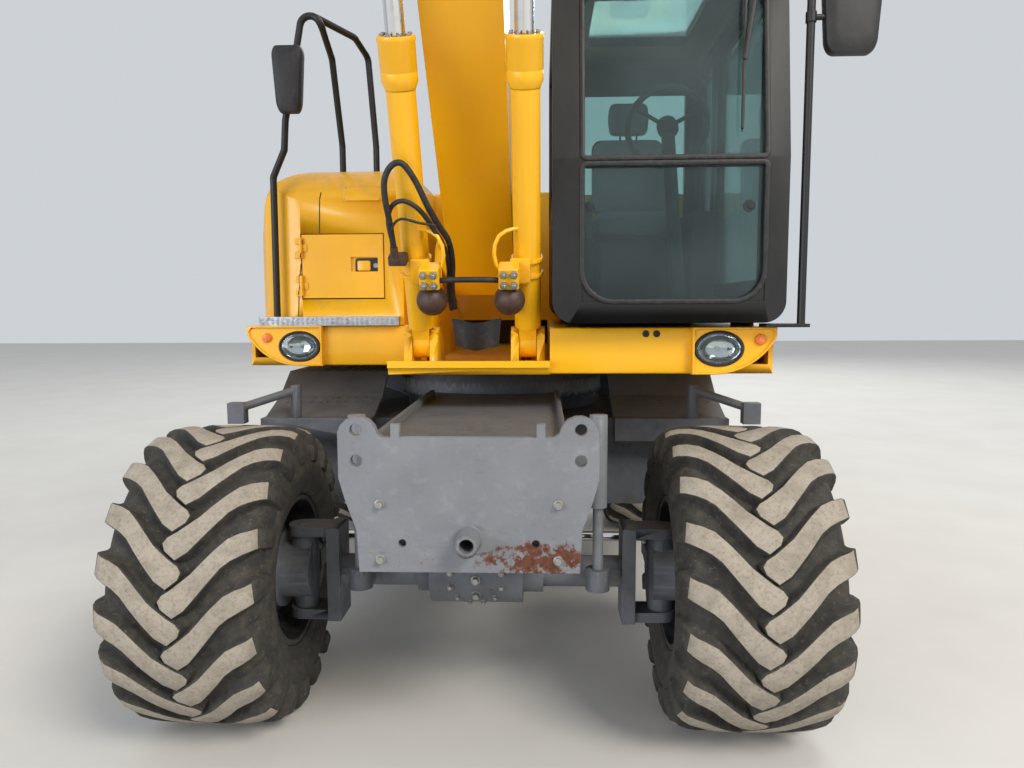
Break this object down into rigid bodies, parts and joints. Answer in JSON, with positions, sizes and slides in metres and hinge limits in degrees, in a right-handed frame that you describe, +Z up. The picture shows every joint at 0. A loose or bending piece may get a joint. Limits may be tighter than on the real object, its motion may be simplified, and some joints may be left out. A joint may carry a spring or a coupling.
{
  "type": "wheeled excavator",
  "caption": "Wheeled excavator with slewing upper structure, side cab, one-piece boom, dipper and bucket on a steered four-wheel chassis.",
  "frame": {"origin": "on the ground below the centre of the slew ring", "axes": "-Y to the front of the machine, +X to the cab side (the machine's left), +Z up"},
  "size_m": [2.916, 8.1544, 5.1014],
  "materials": {
    "dark_steel": "matt, dusty",
    "grey_steel": "matt with rust patches",
    "yellow_paint": "gloss",
    "chrome_rod": "polished",
    "galvanised": "dull",
    "black_paint": "satin",
    "black_plastic": "matt",
    "rim_paint": "matt, dusty",
    "tyre_rubber": "dusty",
    "clear_glass": "clear",
    "seat_cloth": "woven",
    "accumulator": "satin",
    "bucket_steel": "worn"
  },
  "bodies": {
    "chassis": {"chassis_frame": "dark_steel", "front_plate": "grey_steel", "rear_plate": "grey_steel", "slew_ring": "dark_steel", "front_axle": "dark_steel", "rear_axle": "dark_steel", "axle_locks": "grey_steel", "side_boxes": "dark_steel", "mudguard_arms": "dark_steel"},
    "upper": {"slew_frame": "yellow_paint", "front_noses": "yellow_paint", "headlamps": "clear_glass", "step_strip": "galvanised", "tank_cover": "yellow_paint", "body_panels": "yellow_paint", "engine": "dark_steel", "counterweight": "yellow_paint", "handrails": "black_paint", "mirrors": "black_plastic", "cab_frame": "black_paint", "cab_glass": "clear_glass", "seat": "seat_cloth", "controls": "black_plastic"},
    "knuckle_left": {"knuckle_left": "dark_steel"},
    "knuckle_right": {"knuckle_right": "dark_steel"},
    "steer_rod": {"steer_rod": "chrome_rod"},
    "wheel_front_left": {"rim_front_left": "rim_paint", "tyre_front_left": "tyre_rubber"},
    "wheel_front_right": {"rim_front_right": "rim_paint", "tyre_front_right": "tyre_rubber"},
    "wheel_rear_left": {"rim_rear_left": "rim_paint", "tyre_rear_left": "tyre_rubber"},
    "wheel_rear_right": {"rim_rear_right": "rim_paint", "tyre_rear_right": "tyre_rubber"},
    "toolbox_door": {"toolbox_door": "yellow_paint"},
    "engine_hood": {"engine_hood": "yellow_paint"},
    "pump_door": {"pump_door": "yellow_paint"},
    "cooler_door": {"cooler_door": "yellow_paint"},
    "cab_door": {"cab_door": "black_paint", "door_glass": "clear_glass"},
    "boom": {"boom": "yellow_paint"},
    "boom_barrels": {"boom_barrels": "yellow_paint", "boom_valves": "accumulator"},
    "boom_rods": {"boom_rods": "chrome_rod"},
    "dipper": {"dipper": "yellow_paint"},
    "dipper_barrel": {"dipper_barrel": "yellow_paint"},
    "dipper_rod": {"dipper_rod": "chrome_rod"},
    "bucket_barrel": {"bucket_barrel": "yellow_paint"},
    "bucket_rod": {"bucket_rod": "chrome_rod"},
    "bucket_levers": {"bucket_levers": "yellow_paint"},
    "bucket_link": {"bucket_link": "yellow_paint"},
    "bucket": {"bucket": "bucket_steel"}
  },
  "joints": [
    {"name": "slew", "type": "hinge", "parent": "chassis", "child": "upper", "pos_m": [0, 0, 1.29], "axis": [0, 0, 1], "continuous": true},
    {"name": "steer_left", "type": "hinge", "parent": "chassis", "child": "knuckle_left", "pos_m": [0.72, -1.549, 0.586], "axis": [0, 0, 1], "range_deg": [-28, 28]},
    {"name": "steer_right", "type": "hinge", "parent": "chassis", "child": "knuckle_right", "pos_m": [-0.72, -1.549, 0.586], "axis": [0, 0, 1], "range_deg": [-28, 28]},
    {"name": "steer_rod_slide", "type": "slide", "parent": "chassis", "child": "steer_rod", "axis": [-1, 0, 0], "range_m": [-0.09141, 0.09141]},
    {"name": "wheel_front_left_spin", "type": "hinge", "parent": "knuckle_left", "child": "wheel_front_left", "pos_m": [1.006, -1.549, 0.586], "axis": [-1, 0, 0], "continuous": true},
    {"name": "wheel_front_right_spin", "type": "hinge", "parent": "knuckle_right", "child": "wheel_front_right", "pos_m": [-1.006, -1.549, 0.586], "axis": [-1, 0, 0], "continuous": true},
    {"name": "wheel_rear_left_spin", "type": "hinge", "parent": "chassis", "child": "wheel_rear_left", "pos_m": [1.006, 1.201, 0.586], "axis": [-1, 0, 0], "continuous": true},
    {"name": "wheel_rear_right_spin", "type": "hinge", "parent": "chassis", "child": "wheel_rear_right", "pos_m": [-1.006, 1.201, 0.586], "axis": [-1, 0, 0], "continuous": true},
    {"name": "engine_hood_lift", "type": "hinge", "parent": "upper", "child": "engine_hood", "pos_m": [0, 0.543, 2.371], "axis": [1, 0, 0], "range_deg": [0, 70]},
    {"name": "toolbox_door_swing", "type": "hinge", "parent": "upper", "child": "toolbox_door", "pos_m": [-0.965, -0.711, 1.85], "axis": [0, 0, -1], "range_deg": [0, 100]},
    {"name": "pump_door_swing", "type": "hinge", "parent": "upper", "child": "pump_door", "pos_m": [-1.256, 1.427, 1.9], "axis": [0, 0, -1], "range_deg": [0, 95]},
    {"name": "cooler_door_swing", "type": "hinge", "parent": "upper", "child": "cooler_door", "pos_m": [1.256, 1.427, 1.9], "axis": [0, 0, 1], "range_deg": [0, 95]},
    {"name": "cab_door_swing", "type": "hinge", "parent": "upper", "child": "cab_door", "pos_m": [1.266, -0.133, 2.3], "axis": [0, 0, 1], "range_deg": [0, 165]},
    {"name": "boom_lift", "type": "hinge", "parent": "upper", "child": "boom", "pos_m": [-0.055, -0.52, 1.86], "axis": [-1, 0, 0], "range_deg": [-55, 28]},
    {"name": "boom_barrels_tilt", "type": "hinge", "parent": "upper", "child": "boom_barrels", "pos_m": [-0.055, -1.093, 1.483], "axis": [-1, 0, 0], "range_deg": [-56.66, 28.85]},
    {"name": "boom_rods_slide", "type": "slide", "parent": "boom_barrels", "child": "boom_rods", "axis": [0, -0.4172, 0.9088], "range_m": [-0.60768, 0.30985]},
    {"name": "dipper_swing", "type": "hinge", "parent": "boom", "child": "dipper", "pos_m": [-0.055, -4.93673, 4.41], "axis": [1, 0, 0], "range_deg": [-68, 40]},
    {"name": "dipper_barrel_tilt", "type": "hinge", "parent": "boom", "child": "dipper_barrel", "pos_m": [-0.055, -2.79128, 4.32602], "axis": [-1, 0, 0], "range_deg": [-2.39, 1.41]},
    {"name": "dipper_rod_slide", "type": "slide", "parent": "dipper_barrel", "child": "dipper_rod", "axis": [0, -0.9461, 0.3239], "range_m": [-0.62764, 0.36961]},
    {"name": "bucket_curl", "type": "hinge", "parent": "dipper", "child": "bucket", "pos_m": [-0.055, -5.44611, 2.01354], "axis": [1, 0, 0], "range_deg": [-107, 55]},
    {"name": "bucket_levers_swing", "type": "hinge", "parent": "dipper", "child": "bucket_levers", "pos_m": [-0.055, -5.4077, 2.43476], "axis": [1, 0, 0], "range_deg": [-67.63, 34.77]},
    {"name": "bucket_link_swing", "type": "hinge", "parent": "bucket_levers", "child": "bucket_link", "pos_m": [-0.055, -5.89036, 2.15079], "axis": [1, 0, 0], "range_deg": [-23, 44.74]},
    {"name": "bucket_barrel_tilt", "type": "hinge", "parent": "dipper", "child": "bucket_barrel", "pos_m": [-0.055, -5.37581, 4.26819], "axis": [1, 0, 0], "range_deg": [-6.64, 3.42]},
    {"name": "bucket_rod_slide", "type": "slide", "parent": "bucket_barrel", "child": "bucket_rod", "axis": [0, -0.2361, -0.9717], "range_m": [-0.54258, 0.27938]}
  ],
  "couplings": [
    {"joint": "steer_right", "follows": "steer_left", "ratio": 1},
    {"joint": "steer_rod_slide", "follows": "steer_left", "m_per_rad": 0.185},
    {"joint": "boom_barrels_tilt", "follows": "boom_lift", "ratio": 1.03},
    {"joint": "boom_rods_slide", "follows": "boom_lift", "m_per_rad": 0.632},
    {"joint": "dipper_barrel_tilt", "follows": "dipper_swing", "ratio": 0.035},
    {"joint": "dipper_rod_slide", "follows": "dipper_swing", "m_per_rad": 0.528},
    {"joint": "bucket_levers_swing", "follows": "bucket_curl", "ratio": 0.632},
    {"joint": "bucket_link_swing", "follows": "bucket_curl", "ratio": -0.418},
    {"joint": "bucket_barrel_tilt", "follows": "bucket_curl", "ratio": 0.062},
    {"joint": "bucket_rod_slide", "follows": "bucket_curl", "m_per_rad": 0.29}
  ]
}
